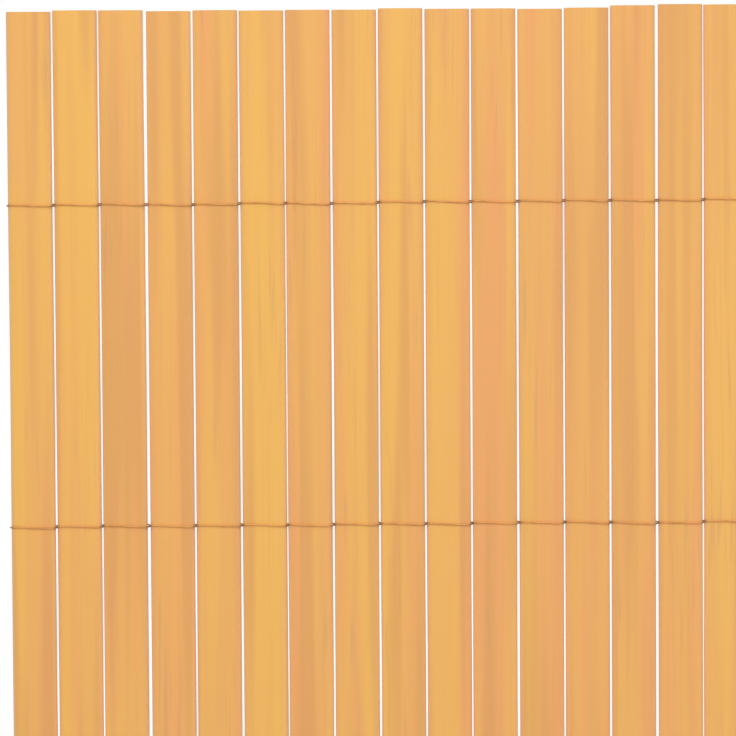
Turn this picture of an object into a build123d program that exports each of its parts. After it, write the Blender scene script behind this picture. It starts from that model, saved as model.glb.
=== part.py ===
"""PVC privacy screen: upright hollow slats bound into a mat by rows of twined wire.

The screen stands in the XZ plane with its front towards -Y. The origin is at the middle of
its lower edge. Units are millimetres.
"""

import os
from math import cos, pi, sin

from build123d import *

# Slats
SLAT_COUNT = 38
SLAT_WIDTH = 20.0
SLAT_THICKNESS = 5.0
SLAT_LENGTH = 900.0
SLAT_WALL = 0.7
EDGE_FACETS = 6  # flats that make up each half-round edge, within 0.1 mm of the arc

# Binding wires
ROW_COUNT = 6
ROW_MARGIN = 88.0  # from a slat's cut end to the nearest row
WIRE_DIAMETER = 0.7
WIRE_SIDES = 4  # flats round the wire's section
WIRE_CLEARANCE = 0.05  # from a strand to a slat, and between two strands in a gap
TAIL_LENGTH = 9.0  # cut end of a strand, turned back round the last slat

# Sizes that follow from those above
slat_gap = WIRE_DIAMETER + 2 * WIRE_CLEARANCE
slat_pitch = SLAT_WIDTH + slat_gap
row_spacing = (SLAT_LENGTH - 2 * ROW_MARGIN) / (ROW_COUNT - 1)
strand_reach = SLAT_THICKNESS / 2 + WIRE_CLEARANCE + WIRE_DIAMETER / 2
strand_lift = (WIRE_DIAMETER + WIRE_CLEARANCE) / 2
strand_slope = 2 * strand_lift / slat_pitch


def gap_x(index):
    """X of the middle of a gap: 0 lies left of the first slat, SLAT_COUNT right of the last."""
    return (index - SLAT_COUNT / 2) * slat_pitch


def slat_outline():
    """Corners of a slat's section: two flat faces joined by half-round edges."""
    edge_radius = SLAT_THICKNESS / 2
    edge_centre = SLAT_WIDTH / 2 - edge_radius
    corners = []
    for side in (1, -1):
        for step in range(EDGE_FACETS + 1):
            angle = pi * (step / EDGE_FACETS - 0.5)
            x = edge_centre + edge_radius * cos(angle)
            y = edge_radius * sin(angle)
            corners.append((side * x, side * y))
    return corners


def make_slat(number):
    """One extruded slat, a flat tube with a constant wall that is open at both ends."""
    middle_x = (gap_x(number - 1) + gap_x(number)) / 2
    with BuildPart() as slat:
        with BuildSketch(Plane((middle_x, 0, 0))):
            with BuildLine():
                Polyline(*slat_outline(), close=True)
            make_face()
            offset(amount=-SLAT_WALL, kind=Kind.INTERSECTION, mode=Mode.SUBTRACT)
        extrude(amount=SLAT_LENGTH)
    slat.part.label = f"slat_{number:02d}"
    export_step(slat.part, f"parts/{slat.part.label}.step")


def strand_route(starts_in_front, row_z):
    """Corners of one strand, from the left edge to its cut end on the last slat.

    The strand passes in front of one slat and behind the next. It falls as it crosses a
    front and climbs as it crosses a back, so in each gap it clears the other strand, which
    passes through the opposite way. Past the last slat it turns round the edge as in a gap,
    and its tail lies beside the other strand.
    """
    points = []
    for index in range(SLAT_COUNT):
        in_front = (index % 2 == 0) == starts_in_front
        side = -1 if in_front else 1
        y = side * strand_reach
        points.append((gap_x(index), y, row_z - side * strand_lift))
        points.append((gap_x(index + 1), y, row_z + side * strand_lift))
    x, y, z = points[-1]
    tail_climb = side * strand_slope * TAIL_LENGTH
    points.append((x, -y, z))
    points.append((x - TAIL_LENGTH, -y, z + tail_climb))
    return points


def make_binding_wire(number):
    """One binding wire, folded round the left edge so that its two halves twine the slats.

    The section is a polygon inside the round wire, mitred at each bend, so that every run
    and every passage through a gap is a plain prism.
    """
    row_z = SLAT_LENGTH - ROW_MARGIN - (number - 1) * row_spacing
    first_strand = strand_route(True, row_z)
    second_strand = strand_route(False, row_z)
    with BuildPart() as wire:
        with BuildLine() as route:
            Polyline(*reversed(first_strand), *second_strand)
        with BuildSketch(Plane(route.line @ 0, x_dir=(0, 1, 0), z_dir=route.line % 0)):
            RegularPolygon(WIRE_DIAMETER / 2, WIRE_SIDES)
        sweep(transition=Transition.RIGHT)
    wire.part.label = f"binding_wire_{number}"
    export_step(wire.part, f"parts/{wire.part.label}.step")


os.makedirs("parts", exist_ok=True)
for slat_number in range(1, SLAT_COUNT + 1):
    make_slat(slat_number)
for row_number in range(1, ROW_COUNT + 1):
    make_binding_wire(row_number)
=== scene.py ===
"""Looks of the PVC privacy screen: its slats, its binding wires, the studio and the camera.

Everything is in metres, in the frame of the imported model: X along the rows of wire, Y through
the screen to its back, Z up along the slats.
"""

import logging
import math
from dataclasses import dataclass, field
from enum import Enum
from typing import Any

import bpy
import numpy as np
from mathutils import Matrix, Vector

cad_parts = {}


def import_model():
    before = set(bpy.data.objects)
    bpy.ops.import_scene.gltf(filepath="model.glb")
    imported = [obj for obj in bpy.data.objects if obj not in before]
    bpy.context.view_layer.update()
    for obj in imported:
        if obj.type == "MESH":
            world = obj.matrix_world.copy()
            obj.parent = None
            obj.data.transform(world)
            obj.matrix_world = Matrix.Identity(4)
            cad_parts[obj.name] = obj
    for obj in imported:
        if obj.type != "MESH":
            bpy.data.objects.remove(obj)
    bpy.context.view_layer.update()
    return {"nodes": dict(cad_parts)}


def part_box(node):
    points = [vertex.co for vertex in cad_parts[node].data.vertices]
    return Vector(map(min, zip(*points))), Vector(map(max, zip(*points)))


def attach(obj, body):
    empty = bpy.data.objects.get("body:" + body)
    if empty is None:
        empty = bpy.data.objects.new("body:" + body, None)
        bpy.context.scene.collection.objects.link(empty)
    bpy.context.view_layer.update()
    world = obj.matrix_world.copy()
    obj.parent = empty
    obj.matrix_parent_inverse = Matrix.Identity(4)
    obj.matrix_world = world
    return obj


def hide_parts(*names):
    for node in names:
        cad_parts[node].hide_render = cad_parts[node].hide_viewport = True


LOG = logging.getLogger("privacy_screen")
MM = 0.001
Colour = tuple[float, float, float, float]
Point = tuple[float, float, float]
WHITE: Colour = (1.0, 1.0, 1.0, 1.0)


class Slot(Enum):
    """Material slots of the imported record."""

    SLAT = "slat_pvc"
    WIRE = "binding_wire"


class Side(Enum):
    """The side of a slat on which a strand passes, as the sign of Y."""

    FRONT = -1
    BACK = 1


def paint(red: int, green: int, blue: int) -> Colour:
    """Turns a colour as a screen shows it into the linear colour that a shader takes.

    This is the sRGB curve: a level near black is divided by 12.92, and any other is
    (level + 0.055) / 1.055 raised to the power 2.4.

    Args:
        red: Red from 0 to 255.
        green: Green from 0 to 255.
        blue: Blue from 0 to 255.

    Returns:
        The linear colour, opaque.
    """
    shown = np.array((red, green, blue)) / 255
    linear = np.where(shown <= 0.04045, shown / 12.92, ((shown + 0.055) / 1.055) ** 2.4)
    return (*(float(level) for level in linear), 1.0)


class Value:
    """A socket of a shader's node tree that takes part in Python arithmetic."""

    def __init__(self, shader: "Shader", socket: bpy.types.NodeSocket | None) -> None:
        """Keeps the tree and the socket."""
        self.shader = shader
        self.socket = socket

    def _math(self, operation: str, first: Any, second: Any) -> "Value":
        """Adds a Math node on two numbers or sockets, and returns its result."""
        return self.shader.node("ShaderNodeMath", {"operation": operation}, {0: first, 1: second})

    def __add__(self, other: Any) -> "Value":
        """This value plus another."""
        return self._math("ADD", self, other)

    def __radd__(self, other: Any) -> "Value":
        """A number plus this value."""
        return self._math("ADD", other, self)

    def __sub__(self, other: Any) -> "Value":
        """This value minus another."""
        return self._math("SUBTRACT", self, other)

    def __rsub__(self, other: Any) -> "Value":
        """A number minus this value."""
        return self._math("SUBTRACT", other, self)

    def __mul__(self, other: Any) -> "Value":
        """This value times another."""
        return self._math("MULTIPLY", self, other)

    def __rmul__(self, other: Any) -> "Value":
        """A number times this value."""
        return self._math("MULTIPLY", other, self)

    def __or__(self, other: Any) -> "Value":
        """The larger of this value and another."""
        return self._math("MAXIMUM", self, other)


class Shader:
    """The node tree of a material or of the world, built up from expressions."""

    def __init__(self, owner: bpy.types.Material | bpy.types.World) -> None:
        """Empties the owner's node tree.

        Args:
            owner: The material or world that the tree belongs to.
        """
        owner.use_nodes = True
        self.tree = owner.node_tree
        self.tree.nodes.clear()

    def node(
        self,
        kind: str,
        settings: dict[str, Any] | None = None,
        inputs: dict[int | str, Any] | None = None,
        output: int | str = 0,
    ) -> Value:
        """Adds one node.

        Args:
            kind: The node's type.
            settings: Its own settings, which are set first.
            inputs: A value or a link for each socket, by name or number.
            output: The output that is wanted.

        Returns:
            That output, ready for arithmetic.
        """
        made = self.tree.nodes.new(kind)
        for name, setting in (settings or {}).items():
            setattr(made, name, setting)
        for key, given in (inputs or {}).items():
            if isinstance(given, Value):
                self.tree.links.new(given.socket, made.inputs[key])
            else:
                made.inputs[key].default_value = given
        return Value(self, made.outputs[output] if made.outputs else None)

    def attribute(self, name: str) -> Value:
        """The number that a mesh attribute holds."""
        return self.node("ShaderNodeAttribute", {"attribute_name": name}, output="Fac")

    def place(self, moved_along: Value | float = 0.0) -> Value:
        """The place on the object.

        Args:
            moved_along: How far the place is moved along Z, so that alike pieces differ.

        Returns:
            The place as a vector.
        """
        move = self.node("ShaderNodeCombineXYZ", inputs={"Z": moved_along})
        here = self.node("ShaderNodeTexCoord", output="Object")
        return self.node("ShaderNodeVectorMath", {"operation": "ADD"}, {0: here, 1: move})

    def step(self, value: Value, low: float, high: float) -> Value:
        """A smooth step between two levels of a value.

        Args:
            value: The value.
            low: The level up to which the step is 0.
            high: The level from which it is 1.

        Returns:
            The step.
        """
        return self.node(
            "ShaderNodeMapRange",
            {"interpolation_type": "SMOOTHSTEP"},
            {"Value": value, "From Min": low, "From Max": high},
        )

    def mix(self, first: Any, second: Any, share: Any) -> Value:
        """A colour between two others.

        Args:
            first: The colour at share 0.
            second: The colour at share 1.
            share: How much of the second shows.

        Returns:
            The colour.
        """
        return self.node(
            "ShaderNodeMix", {"data_type": "RGBA"}, {0: share, 6: first, 7: second}, output=2
        )


@dataclass(frozen=True)
class Streak:
    """A layer of noise drawn out into streaks.

    Attributes:
        across: Size of a streak along X and Y.
        along: Size of a streak along Z.
        start: Where in the noise the layer starts, so that no two layers agree.
        low: The noise up to which the layer does not show.
        high: The noise from which it shows in full.
        detail: Number of finer layers within the noise.
    """

    across: float
    along: float
    start: float
    low: float = 0.4
    high: float = 0.6
    detail: float = 2.0

    def noise(self, place: Value) -> Value:
        """Adds the layer's noise.

        Args:
            place: The place on the object that the noise follows.

        Returns:
            A value about 0.5 that ranges over most of 0 to 1.
        """
        shader = place.shader
        stretched = shader.node(
            "ShaderNodeMapping",
            inputs={
                "Vector": place,
                "Location": (self.start, self.start, self.start),
                "Scale": (1 / self.across, 1 / self.across, 1 / self.along),
            },
        )
        return shader.node(
            "ShaderNodeTexNoise", inputs={"Vector": stretched, "Scale": 1.0, "Detail": self.detail}
        )

    def share(self, place: Value) -> Value:
        """How much of the layer shows: 0 where its noise is low, 1 where it is high."""
        return place.shader.step(self.noise(place), self.low, self.high)


@dataclass(frozen=True)
class PvcFinish:
    """Satin extruded PVC in honey tones, with long streaks like a light wood.

    Each other colour lies over the honey by its share, where its band or thread shows. A
    slat's tint moves it from peach towards straw. Fine die lines along the extrusion are bump.
    The pale peach on the round edges is painted light, standing in for light that shines
    through them.
    """

    honey: Colour = paint(241, 178, 96)
    peach: Colour = paint(242, 168, 102)
    straw: Colour = paint(246, 190, 88)
    tan: Colour = paint(224, 160, 92)
    umber: Colour = paint(200, 148, 104)
    # Painted light: a paler peach laid on the round edges, standing in for light that shines through
    # them.
    pale: Colour = paint(253, 216, 176)
    peach_band: Streak = Streak(8 * MM, 240 * MM, start=3.1, low=0.42, high=0.64, detail=0.8)
    straw_band: Streak = Streak(9 * MM, 300 * MM, start=17.7, low=0.4, high=0.64, detail=0.8)
    tan_band: Streak = Streak(7 * MM, 260 * MM, start=79.1, low=0.46, high=0.68, detail=0.8)
    thread: Streak = Streak(1.1 * MM, 110 * MM, start=29.3, low=0.5, high=0.74, detail=3.0)
    patch: Streak = Streak(20 * MM, 160 * MM, start=41.9, low=0.52, high=0.66)
    patch_thread: Streak = Streak(1.6 * MM, 50 * MM, start=53.3, low=0.56, high=0.7)
    die_line: Streak = Streak(0.4 * MM, 400 * MM, start=67.1)
    peach_share: float = 0.8
    straw_share: float = 0.55
    tan_share: float = 0.62
    thread_share: float = 0.12
    patch_share: float = 0.3
    edge_glow_share: float = 0.45
    tint_from_peach: float = 0.15
    tint_to_straw: float = 0.22
    roughness: float = 0.46
    thread_roughness: float = 0.1
    straw_gloss: float = 0.04
    line_strength: float = 0.35
    line_depth: float = 0.04 * MM

    def material(self, name: str) -> bpy.types.Material:
        """Builds the finish.

        Args:
            name: The material's name.

        Returns:
            The material, which reads three attributes: each slat's "tint", its "run", which is
            where along the extrusion it was cut, and "edge", which tells where its round edges
            are. There the colour is made paler, as painted light for light shining through them.
        """
        material = bpy.data.materials.new(name)
        shader = Shader(material)
        tint = shader.attribute("tint")
        place = shader.place(shader.attribute("run"))
        edge = shader.attribute("edge")
        peach = self.peach_band.share(place)
        straw = self.straw_band.share(place)
        tan = self.tan_band.share(place)
        thread = self.thread.share(place)
        patched = self.patch_thread.share(place) * self.patch.share(place)
        peach_shows = peach * self.peach_share - tint * self.tint_from_peach
        straw_shows = straw * self.straw_share + tint * self.tint_to_straw
        umber_shows = thread * self.thread_share + patched * self.patch_share
        colour = shader.mix(self.honey, self.peach, peach_shows)
        colour = shader.mix(colour, self.straw, straw_shows)
        colour = shader.mix(colour, self.tan, tan * self.tan_share)
        colour = shader.mix(colour, self.umber, umber_shows)
        # Painted light: the round edges are mixed towards the paler peach, in place of light shining
        # through them.
        colour = shader.mix(colour, self.pale, edge * self.edge_glow_share)
        roughness = self.roughness + thread * self.thread_roughness - straw * self.straw_gloss
        bump = shader.node(
            "ShaderNodeBump",
            inputs={
                "Strength": self.line_strength,
                "Distance": self.line_depth,
                "Height": self.die_line.noise(place),
            },
        )
        surface = shader.node(
            "ShaderNodeBsdfPrincipled",
            inputs={"Base Color": colour, "Roughness": roughness, "Normal": bump},
        )
        shader.node("ShaderNodeOutputMaterial", inputs={"Surface": surface})
        return material


@dataclass(frozen=True)
class WireFinish:
    """Light brown plastic coat on a thin wire, scuffed here and there, with painted shade in the
    gaps.
    """

    coat: Colour = paint(230, 164, 84)
    worn: Colour = paint(206, 144, 74)
    # Painted shade: the darker brown given to the wire deep in the gaps, where shade falls between
    # the slats.
    painted_gap_shade: Colour = paint(162, 118, 70)
    scuff: Streak = Streak(6 * MM, 4 * MM, start=7.7, low=0.42, high=0.64)
    worn_share: float = 0.7
    roughness: float = 0.4
    worn_roughness: float = 0.15

    def material(self, name: str) -> bpy.types.Material:
        """Builds the finish.

        Args:
            name: The material's name.

        Returns:
            The material, which reads from "in_gap" how deep in a gap the wire lies, and
            darkens the wire there with painted shade.
        """
        material = bpy.data.materials.new(name)
        shader = Shader(material)
        in_gap = shader.attribute("in_gap")
        scuff = self.scuff.share(shader.place())
        colour = shader.mix(self.coat, self.worn, scuff * self.worn_share)
        # Painted shade: deep in a gap the wire is mixed towards the darker brown, for the shade
        # there.
        colour = shader.mix(colour, self.painted_gap_shade, in_gap)
        roughness = self.roughness + scuff * self.worn_roughness
        surface = shader.node(
            "ShaderNodeBsdfPrincipled", inputs={"Base Color": colour, "Roughness": roughness}
        )
        shader.node("ShaderNodeOutputMaterial", inputs={"Surface": surface})
        return material


def link_object(name: str, mesh: bpy.types.Mesh) -> bpy.types.Object:
    """Puts a mesh into the scene as an object at the origin.

    Args:
        name: The object's name.
        mesh: Its mesh, already in place.

    Returns:
        The object.
    """
    made = bpy.data.objects.new(name, mesh)
    bpy.context.scene.collection.objects.link(made)
    return made


def closed_grid(rows: int, columns: int, rows_close: bool) -> np.ndarray:
    """Corner numbers of the quads of a grid whose columns close into a ring.

    The quad at row r and column c joins r and r + 1 with c and c + 1, each counted round.

    Args:
        rows: Number of rows of points.
        columns: Number of points in each row.
        rows_close: Whether the last row is joined to the first.

    Returns:
        An array with four corner numbers for each quad.
    """
    row = np.arange(rows if rows_close else rows - 1)[:, None]
    column = np.arange(columns)[None, :]
    next_row = (row + 1) % rows
    next_column = (column + 1) % columns
    corners = np.stack(
        [
            row * columns + column,
            row * columns + next_column,
            next_row * columns + next_column,
            next_row * columns + column,
        ],
        axis=-1,
    )
    return corners.reshape(-1, 4)


def smooth_mesh(
    name: str, points: np.ndarray, faces: Any, material: bpy.types.Material
) -> bpy.types.Mesh:
    """Makes a smoothly shaded mesh of one material.

    Args:
        name: The mesh's name.
        points: Points by row and column.
        faces: The corner numbers of each face, counted along the rows.
        material: The material of all its faces.

    Returns:
        The mesh.
    """
    mesh = bpy.data.meshes.new(name)
    mesh.from_pydata(points.reshape(-1, 3), [], faces)
    mesh.materials.append(material)
    mesh.polygons.foreach_set("use_smooth", np.ones(len(mesh.polygons), dtype=bool))
    return mesh


def set_numbers(mesh: bpy.types.Mesh, name: str, numbers: np.ndarray) -> None:
    """Stores one number for each vertex as a mesh attribute."""
    layer = mesh.attributes.new(name, "FLOAT", "POINT")
    layer.data.foreach_set("value", np.ascontiguousarray(numbers, dtype=np.float32))


@dataclass
class SlatMat:
    """The slats, side by side.

    Each slat sits a little to one side in its place, so the gaps differ, and between the rows
    of wire it bows a little sideways. All stand on the floor, and each is cut a little short,
    the first ones more than the rest.

    Attributes:
        nodes: The slats' nodes, from the left.
        row_nodes: The wires' nodes.
        wall: Thickness of the hollow slat's wall.
        crown: How far a face rises at its middle.
        edge_steps: Steps round a half-round edge.
        face_steps: Steps across a face.
        stations: Places along a slat that have an outline.
        play: The furthest that a slat sits to one side.
        bow: The furthest that it bows between rows.
        edge_glow_start: Share of the edge's width at which the painted light on the edges begins.
        edge_glow_fade: Share of the edge's width over which that painted light grows to full.
        short_cut: The most that a slat is cut short.
        first_slats: Number of slats at the left that are shorter still.
        first_short: How much shorter they are.
        run_apart: Length of extrusion from one slat's cut to the next one's.
        seed: Seed of what differs from slat to slat.
        boxes: Lowest and highest corner of each node.
        bows: Each slat's bow in each bay, from the lowest.
        seats: How far each slat sits to the right.
        shorts: How far each slat is cut short.
        tints: Each slat's tint, from -1 for peach to 1 for straw.
    """

    nodes: list[str]
    row_nodes: list[str]
    wall: float = 0.7 * MM
    crown: float = 0.03 * MM
    edge_steps: int = 12
    face_steps: int = 6
    stations: int = 43
    play: float = 0.22 * MM
    bow: float = 0.15 * MM
    edge_glow_start: float = 0.4
    edge_glow_fade: float = 0.4
    short_cut: float = 0.8 * MM
    first_slats: int = 13
    first_short: float = 1.1 * MM
    run_apart: float = 2.3
    seed: int = 7
    boxes: np.ndarray = field(init=False)
    bows: np.ndarray = field(init=False)
    seats: np.ndarray = field(init=False)
    shorts: np.ndarray = field(init=False)
    tints: np.ndarray = field(init=False)

    def __post_init__(self) -> None:
        """Reads the slats' boxes from the frame and draws what differs from slat to slat."""
        self.boxes = np.array([[tuple(corner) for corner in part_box(node)] for node in self.nodes])
        count = len(self.nodes)
        draw = np.random.default_rng(self.seed)
        self.tints = draw.uniform(-1, 1, count)
        self.shorts = draw.uniform(0, self.short_cut, count)
        self.shorts += np.where(np.arange(count) < self.first_slats, self.first_short, 0.0)
        self.bows = draw.uniform(-self.bow, self.bow, (count, len(self.row_nodes) + 1))
        self.seats = draw.uniform(-self.play, self.play, count)
        self.seats[[0, -1]] = 0.0

    @property
    def middles(self) -> np.ndarray:
        """X of the middle of each slat at the rows: its node's middle, moved to its seat."""
        return self.boxes[:, :, 0].mean(axis=1) + self.seats

    @property
    def edge_radius(self) -> float:
        """Radius of a slat's half-round edges."""
        return float(np.ptp(self.boxes[0, :, 1])) / 2

    @property
    def edge_centre(self) -> float:
        """Distance from a slat's middle to the centre of its round edge."""
        return float(np.ptp(self.boxes[0, :, 0])) / 2 - self.edge_radius

    def rows(self) -> np.ndarray:
        """Heights of the rows of wire, from the lowest."""
        return np.sort([(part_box(node)[0][2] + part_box(node)[1][2]) / 2 for node in self.row_nodes])

    def sideways(self, index: int, heights: np.ndarray) -> np.ndarray:
        """How far a slat bows from where it is at the rows.

        In each bay between two rows it is the slat's bow there times the squared sine of the
        way from row to row, so it is nothing at the wires. The free ends are half such bays.

        Args:
            index: The slat's number from the left, from 0.
            heights: Heights along the slat.

        Returns:
            The offset at each height.
        """
        rows = self.rows()
        way = (heights - rows[0]) / np.diff(rows).mean()
        bay = np.clip(np.floor(way).astype(int) + 1, 0, len(rows))
        return self.bows[index, bay] * np.sin(math.pi * way) ** 2

    def outline(self, inset: float) -> np.ndarray:
        """The section's outline, anticlockwise: two crowned faces joined by half circles.

        A half circle has the points (centre + r cos a, r sin a) for a from -90 to 90 degrees,
        and a face rises by crown (1 - (x / centre)^2). The left half is the right half negated.

        Args:
            inset: How far the outline lies inside the slat's skin.

        Returns:
            An array of points (x, y).
        """
        radius = self.edge_radius - inset
        angle = np.linspace(-math.pi / 2, math.pi / 2, self.edge_steps + 1)
        edge = np.stack([self.edge_centre + radius * np.cos(angle), radius * np.sin(angle)], axis=1)
        across = np.linspace(self.edge_centre, -self.edge_centre, self.face_steps + 1)[1:-1]
        rise = self.crown * (1 - (across / self.edge_centre) ** 2)
        face = np.stack([across, radius + rise], axis=1)
        return np.concatenate([edge, face, -edge, -face])

    def edge_share(self) -> np.ndarray:
        """How far round its edge each point of the outline lies, from 0 on a face to 1."""
        beyond = np.abs(self.outline(0.0)[:, 0]) - self.edge_centre
        # The share ramps up across the edge and sets where the edges are painted paler, as painted
        # light.
        return np.clip((beyond / self.edge_radius - self.edge_glow_start) / self.edge_glow_fade, 0, 1)

    def surface(self, index: int) -> np.ndarray:
        """A slat's whole skin as one grid that closes both ways.

        The outer outline is carried up along the slat, and the inner one down again. The rows
        where they meet are the cut ends.

        Args:
            index: The slat's number from the left, from 0.

        Returns:
            Points by row and by place round the outline.
        """
        low, high = self.boxes[index, :, 2]
        heights = np.linspace(low, high - self.shorts[index], self.stations)
        shift = self.sideways(index, heights)
        middle_y = self.boxes[index, :, 1].mean()
        walls = []
        for inset, order in ((0.0, slice(None)), (self.wall, slice(None, None, -1))):
            outline = self.outline(inset)
            x = self.middles[index] + outline[None, :, 0] + shift[order, None]
            y = np.broadcast_to(middle_y + outline[None, :, 1], x.shape)
            z = np.broadcast_to(heights[order, None], x.shape)
            walls.append(np.stack([x, y, z], axis=-1))
        return np.concatenate(walls)

    def build(self, finish: PvcFinish) -> list[bpy.types.Object]:
        """Makes every slat and dresses it.

        Args:
            finish: The slats' finish.

        Returns:
            The slats, from the left.
        """
        material = finish.material("honey_pvc")
        pieces = []
        for index, node in enumerate(self.nodes):
            points = self.surface(index)
            rows, columns, _ = points.shape
            quads = closed_grid(rows, columns, rows_close=True)
            mesh = smooth_mesh(f"{node}_skin", points, quads, material)
            self.sharpen_ends(mesh, columns)
            set_numbers(mesh, "tint", np.full(rows * columns, self.tints[index]))
            set_numbers(mesh, "run", np.full(rows * columns, index * self.run_apart))
            # The edge share sets where the round edges get their painted light.
            set_numbers(mesh, "edge", np.tile(self.edge_share(), rows))
            piece = link_object(f"{node}_skin", mesh)
            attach(piece, "root")
            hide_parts(node)
            pieces.append(piece)
        return pieces

    def sharpen_ends(self, mesh: bpy.types.Mesh, columns: int) -> None:
        """Marks the rims of the cut ends sharp, so that the walls stay smooth up to them.

        Args:
            mesh: A slat's mesh.
            columns: Number of points round the outline.
        """
        ends = np.empty(2 * len(mesh.edges), dtype=np.int32)
        mesh.edges.foreach_get("vertices", ends)
        row = ends.reshape(-1, 2) // columns
        rims = (0, self.stations - 1, self.stations, 2 * self.stations - 1)
        sharp = (row[:, 0] == row[:, 1]) & np.isin(row[:, 0], rims)
        layer = mesh.attributes.new("sharp_edge", "BOOLEAN", "EDGE")
        layer.data.foreach_set("value", sharp)


@dataclass
class BindingWires:
    """The rows of wire that twine the slats together.

    Attributes:
        nodes: The wires' nodes.
        slats: The slats that they bind.
        strand_gap: Room between the two strands in a gap.
        slat_gap: Room between a strand and a slat in a tight gap.
        tail: Length of a strand's cut end on the last slat.
        tail_fall: How far the cut end turns away from the row, for each length along it.
        fold_share: Share of the first slat over which the strands part at the fold.
        gap_shade_start: Depth in a gap at which the painted shade on a strand begins.
        gap_shade_fade: Depth over which that painted shade grows to full.
        row_rise: Half the height of a row's slow wave.
        row_jitter: The furthest that a slat pushes a row up or down.
        seed: Seed of the pushes.
        bend_steps: Steps round a quarter bend.
        run_steps: Steps along a straight run.
        sides: Points round the wire.
    """

    nodes: list[str]
    slats: SlatMat
    strand_gap: float = 0.04 * MM
    slat_gap: float = 0.02 * MM
    tail: float = 9 * MM
    tail_fall: float = 0.06
    fold_share: float = 0.15
    gap_shade_start: float = 0.35
    gap_shade_fade: float = 0.4
    row_rise: float = 0.4 * MM
    row_jitter: float = 0.35 * MM
    seed: int = 11
    bend_steps: int = 9
    run_steps: int = 6
    sides: int = 10

    @property
    def diameter(self) -> float:
        """The wire's thickness: what its node stands proud of a slat's face, less the crown."""
        low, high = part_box(self.nodes[0])
        return (high[1] - low[1]) / 2 - self.slats.edge_radius - self.slats.crown

    @property
    def lift(self) -> float:
        """How far a strand's middle lies above or below the row's in a gap."""
        return (self.diameter + self.strand_gap) / 2

    @property
    def reach(self) -> float:
        """Distance from the middle of the mat to a strand that lies on a face."""
        return self.slats.edge_radius + self.slats.crown + self.diameter / 2

    def row_height(self, node: str, x: np.ndarray) -> np.ndarray:
        """Height of a row: its node's middle, with a slow wave and a small push at each slat.

        Args:
            node: The row's node.
            x: Places along the row.

        Returns:
            The height at each place.
        """
        low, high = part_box(node)
        middles = self.slats.middles
        along = (x - middles[0]) / (middles[-1] - middles[0])
        draw = np.random.default_rng((self.seed, self.nodes.index(node)))
        pushed = draw.uniform(-self.row_jitter, self.row_jitter, len(middles))
        middle = (low[2] + high[2]) / 2 + np.interp(x, middles, pushed)
        return middle + self.row_rise * (1 - np.cos(2 * math.pi * along))

    def strand(self, node: str, first: Side) -> np.ndarray:
        """The line of one strand, from the fold at the left edge to its cut end.

        Over each slat it is a quarter ellipse out of the gap, a straight run over the face and
        a quarter ellipse into the next gap. From gap to gap its height swings by the lift as a
        cosine, down over a front and up over a back, so the strands turn round each other.
        Past the last slat it goes round the edge and lies back along the other face.

        Args:
            node: The row's node.
            first: The side on which the strand passes the first slat.

        Returns:
            Points along the strand.
        """
        slats = self.slats
        count = len(slats.nodes)
        left = slats.middles - slats.edge_centre
        right = slats.middles + slats.edge_centre
        gaps = np.concatenate(
            [[left[0] - self.reach], (right[:-1] + left[1:]) / 2, [right[-1] + self.reach]]
        )
        side = (first.value * (-1) ** np.arange(count))[:, None]
        rising = np.linspace(0, math.pi / 2, self.bend_steps + 1)[None, 1:]
        falling = rising - rising[0, 0]
        run = np.linspace(0, 1, self.run_steps + 1)[None, 1:-1]
        x = np.concatenate(
            [
                left[:, None] - (left - gaps[:-1])[:, None] * np.cos(rising),
                left[:, None] + (right - left)[:, None] * run,
                right[:, None] + (gaps[1:] - right)[:, None] * np.sin(falling),
            ],
            axis=1,
        )
        height = np.concatenate([np.sin(rising), np.ones_like(run), np.cos(falling)], axis=1)
        y = side * (self.reach * height)
        way = (x - gaps[:-1, None]) / np.diff(gaps)[:, None]
        z = -side * self.lift * np.cos(math.pi * way)
        z[0] *= np.sqrt(np.clip(way[0] / self.fold_share, 0, 1))
        line = np.stack([x, y, z], axis=-1).reshape(-1, 3)
        end = self.turned_end(right[-1], int(side[-1, 0]))
        line = np.concatenate([line, end])
        line[:, 2] += self.row_height(node, line[:, 0])
        return line

    def turned_end(self, edge_x: float, side: int) -> np.ndarray:
        """The cut end of a strand: a quarter circle onto the other face, then a short run back.

        Args:
            edge_x: X of the centre of the last slat's round edge.
            side: The sign of Y on which the strand came.

        Returns:
            Points, with heights counted from the row's.
        """
        bend = np.linspace(0, math.pi / 2, self.bend_steps + 1)
        back = np.linspace(0, self.tail, self.run_steps + 1)[1:]
        x = np.concatenate([edge_x + self.reach * np.cos(bend), edge_x - back])
        y = -side * self.reach * np.concatenate([np.sin(bend), np.ones_like(back)])
        z = side * (self.lift + self.tail_fall * np.concatenate([0 * bend, back]))
        return np.stack([x, y, z], axis=-1)

    def pressed(self, line: np.ndarray) -> np.ndarray:
        """How thin the soft coat is pressed in a tight gap, as a share of its thickness.

        The room at a point is its distance from the centre of the nearest round edge, less the
        edge's radius and the slat gap. The share is the room over the wire's radius, up to 1.

        Args:
            line: Points along the wire.

        Returns:
            The share at each point.
        """
        slats = self.slats
        centres = np.concatenate(
            [slats.middles - slats.edge_centre, slats.middles + slats.edge_centre]
        )
        apart = np.hypot(line[:, :1] - centres, line[:, 1:2]).min(axis=1)
        room = apart - slats.edge_radius - self.slat_gap
        return np.clip(room / (self.diameter / 2), 0, 1)

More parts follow.
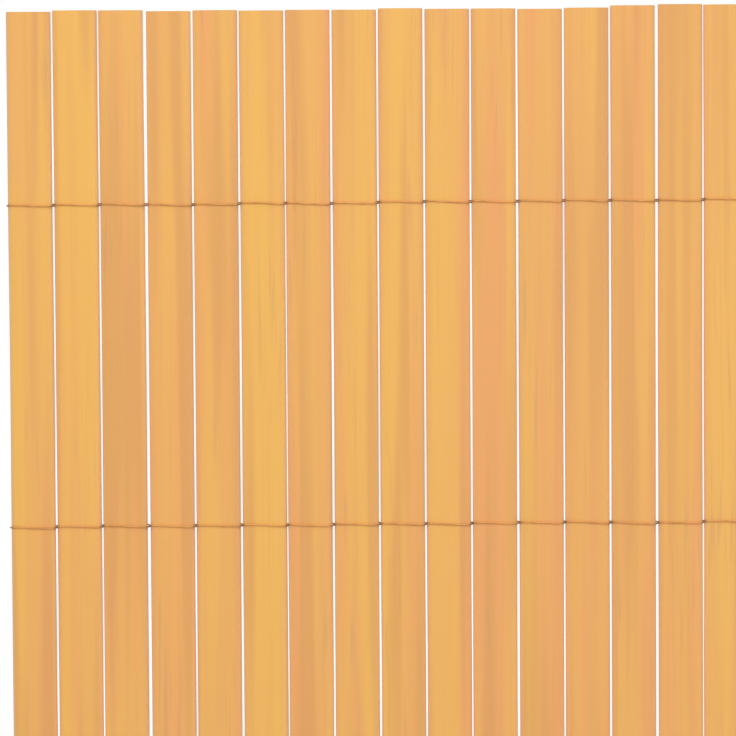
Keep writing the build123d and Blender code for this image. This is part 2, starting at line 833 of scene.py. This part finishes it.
    def tube(self, line: np.ndarray) -> np.ndarray:
        """A tube along a line: at each point a circle square to the line, pressed thin in gaps.

        The circle is spanned by the direction nearest to Z and by its cross product with the
        line's direction, which is the central difference of its points. In a gap the second of
        these points from slat to slat, and the pressed share shortens it.

        Args:
            line: Points along the wire.

        Returns:
            Points by place along the line and by place round the circle.
        """
        along = np.gradient(line, axis=0)
        along /= np.linalg.norm(along, axis=1, keepdims=True)
        up = np.array([0.0, 0.0, 1.0]) - along[:, 2:] * along
        up /= np.linalg.norm(up, axis=1, keepdims=True)
        across = np.cross(up, along) * self.pressed(line)[:, None]
        angle = np.linspace(0, 2 * math.pi, self.sides, endpoint=False)[None, :, None]
        circle = across[:, None] * np.cos(angle) + up[:, None] * np.sin(angle)
        return line[:, None] + circle * self.diameter / 2

    def depth_in_gap(self, line: np.ndarray) -> np.ndarray:
        """How deep in a gap the wire lies, from 0 on a slat's face to 1 near the gap's middle.

        On a quarter ellipse this follows the cosine of its angle, which is the square root of
        1 - (y / reach)^2.

        Args:
            line: Points along the wire.

        Returns:
            The depth at each point.
        """
        cosine = np.sqrt(np.clip(1 - (line[:, 1] / self.reach) ** 2, 0, 1))
        # The depth ramps up into the gap and sets where the wire gets its painted shade.
        return np.clip((cosine - self.gap_shade_start) / self.gap_shade_fade, 0, 1)

    def build(self, finish: WireFinish) -> list[bpy.types.Object]:
        """Makes the wire of every row and dresses it.

        Args:
            finish: The wires' finish.

        Returns:
            The wires, in the order of their nodes.
        """
        material = finish.material("brown_coated_wire")
        pieces = []
        for node in self.nodes:
            line = np.concatenate(
                [self.strand(node, Side.FRONT)[::-1], self.strand(node, Side.BACK)]
            )
            points = self.tube(line)
            rows, columns, _ = points.shape
            quads = closed_grid(rows, columns, rows_close=False).tolist()
            first_cap = list(range(columns))[::-1]
            last_cap = list(range((rows - 1) * columns, rows * columns))
            faces = [*quads, first_cap, last_cap]
            mesh = smooth_mesh(f"{node}_round", points, faces, material)
            # The depth in a gap sets where the wire is darkened with painted shade.
            set_numbers(mesh, "in_gap", np.repeat(self.depth_in_gap(line), columns))
            piece = link_object(f"{node}_round", mesh)
            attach(piece, "root")
            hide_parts(node)
            pieces.append(piece)
        return pieces


@dataclass(frozen=True)
class Lamp:
    """A square soft lamp.

    Attributes:
        name: The lamp's name.
        watts: Its power.
        side: The length of its side.
        place: Where it hangs.
        aim: The point that it faces.
    """

    name: str
    watts: float
    side: float
    place: Point
    aim: Point

    def hang(self) -> None:
        """Puts the lamp into the scene, turned to its aim."""
        data = bpy.data.lights.new(self.name, "AREA")
        data.energy = self.watts
        data.size = self.side
        lamp = bpy.data.objects.new(self.name, data)
        bpy.context.scene.collection.objects.link(lamp)
        lamp.location = self.place
        ahead = Vector(self.aim) - Vector(self.place)
        lamp.rotation_euler = ahead.to_track_quat("-Z", "Y").to_euler()


@dataclass
class Studio:
    """A pale floor, a white surround and soft lamps.

    Attributes:
        floor_half: Half the floor's side.
        floor_colour: The floor's colour near the screen.
        floor_roughness: Its roughness.
        fade_start: Distance from the origin at which the floor begins to fade.
        fade_end: Distance at which it has become the white surround.
        ambient: Strength of the surround as the object is lit by it.
        lamps: The lamps, two in front of the screen and one behind it.
    """

    floor_half: float = 2.0
    floor_colour: Colour = paint(236, 236, 234)
    floor_roughness: float = 0.8
    fade_start: float = 0.55
    fade_end: float = 1.4
    ambient: float = 0.39
    lamps: tuple[Lamp, ...] = (
        Lamp("key", watts=27.0, side=1.6, place=(-0.5, -1.6, 2.3), aim=(0, 0, 0.5)),
        Lamp("fill", watts=10.5, side=2.0, place=(0.9, -2.4, 0.9), aim=(0, 0, 0.45)),
        Lamp("back", watts=31.0, side=1.8, place=(0.6, 1.9, 2.0), aim=(0, 0, 0.4)),
    )

    def build(self) -> None:
        """Makes the floor, the world and the lamps."""
        self.floor()
        self.surround()
        for lamp in self.lamps:
            lamp.hang()

    def background_ray(self, shader: Shader) -> Value:
        """Tells which rays show the background.

        Args:
            shader: The tree that the test is added to.

        Returns:
            1 on rays by which the camera, a reflection or glass sees the background.
        """
        seen = shader.node("ShaderNodeLightPath", output="Is Camera Ray")
        mirrored = shader.node("ShaderNodeLightPath", output="Is Glossy Ray")
        through = shader.node("ShaderNodeLightPath", output="Is Transmission Ray")
        return seen | mirrored | through

    def floor(self) -> None:
        """Lays the floor, which fades into the white surround away from the screen."""
        half = self.floor_half
        corners = np.array([[-half, -half, 0], [half, -half, 0], [half, half, 0], [-half, half, 0]])
        mesh = bpy.data.meshes.new("floor")
        mesh.from_pydata(corners, [], [(0, 1, 2, 3)])
        material = bpy.data.materials.new("pale_floor")
        shader = Shader(material)
        place = shader.node("ShaderNodeTexCoord", output="Object")
        distance = shader.node("ShaderNodeVectorMath", {"operation": "LENGTH"}, {0: place}, "Value")
        faded = shader.step(distance, self.fade_start, self.fade_end)
        fade = faded * self.background_ray(shader)
        matt = shader.node(
            "ShaderNodeBsdfPrincipled",
            inputs={"Base Color": self.floor_colour, "Roughness": self.floor_roughness},
        )
        white = shader.node("ShaderNodeEmission", inputs={"Color": WHITE, "Strength": 1.0})
        surface = shader.node("ShaderNodeMixShader", inputs={0: fade, 1: matt, 2: white})
        shader.node("ShaderNodeOutputMaterial", inputs={"Surface": surface})
        mesh.materials.append(material)
        link_object("floor", mesh)

    def surround(self) -> None:
        """Makes the world white to the camera and a soft grey to the object."""
        world = bpy.data.worlds.new("white_surround")
        bpy.context.scene.world = world
        shader = Shader(world)
        seen = self.background_ray(shader)
        strength = self.ambient + seen * (1 - self.ambient)
        glow = shader.node("ShaderNodeBackground", inputs={"Color": WHITE, "Strength": strength})
        shader.node("ShaderNodeOutputWorld", inputs={"Surface": glow})


@dataclass
class PhotoCamera:
    """The photograph's camera: a long lens, close to square on, at the upper left corner.

    Attributes:
        left_margin: Width of the background left of the slats.
        top_margin: Height of the background above the slats.
        frame_width: Width that the square picture covers at the slats.
        distance: Distance from the camera to the slats.
        elevation: Angle by which it looks down.
        roll: Angle by which it is turned about its own axis.
        sensor: Width of its sensor, in millimetres.
    """

    left_margin: float = 4.4 * MM
    top_margin: float = 3.4 * MM
    frame_width: float = 330.8 * MM
    distance: float = 1.5
    elevation: float = math.radians(2.8)
    roll: float = math.radians(0.35)
    sensor: float = 36.0

    def build(self, low: Vector, high: Vector) -> None:
        """Places the camera.

        Args:
            low: Lowest corner of the slats.
            high: Highest corner of the slats.
        """
        data = bpy.data.cameras.new("photo_camera")
        data.sensor_width = self.sensor
        data.lens = self.sensor * self.distance / self.frame_width
        camera = bpy.data.objects.new("photo_camera", data)
        bpy.context.scene.collection.objects.link(camera)
        half = self.frame_width / 2
        target = Vector((low.x - self.left_margin + half, 0, high.z + self.top_margin - half))
        ahead = Vector((0, math.cos(self.elevation), -math.sin(self.elevation)))
        level_right = Vector((1, 0, 0))
        level_up = level_right.cross(ahead)
        right = level_right * math.cos(self.roll) - level_up * math.sin(self.roll)
        up = right.cross(ahead)
        turn = Matrix((right, up, -ahead)).transposed().to_4x4()
        camera.matrix_world = Matrix.Translation(target - ahead * self.distance) @ turn
        bpy.context.scene.camera = camera


def main() -> None:
    """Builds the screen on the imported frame, then the studio and the camera."""
    logging.basicConfig(level=logging.INFO, format="%(name)s: %(message)s")
    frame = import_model()
    names = sorted(frame["nodes"])
    row_nodes = [name for name in names if name.startswith("binding_wire_")]
    slats = SlatMat([name for name in names if name.startswith("slat_")], row_nodes)
    pieces = slats.build(PvcFinish())
    pieces += BindingWires(row_nodes, slats).build(WireFinish())
    for piece in pieces:
        LOG.info("%s: %d faces", piece.name, len(piece.data.polygons))
    Studio().build()
    lowest = Vector(slats.boxes.min(axis=(0, 1)))
    highest = Vector(slats.boxes.max(axis=(0, 1)))
    PhotoCamera().build(lowest, highest)
    bpy.context.scene.view_settings.view_transform = "Standard"


if __name__ == "__main__":
    main()
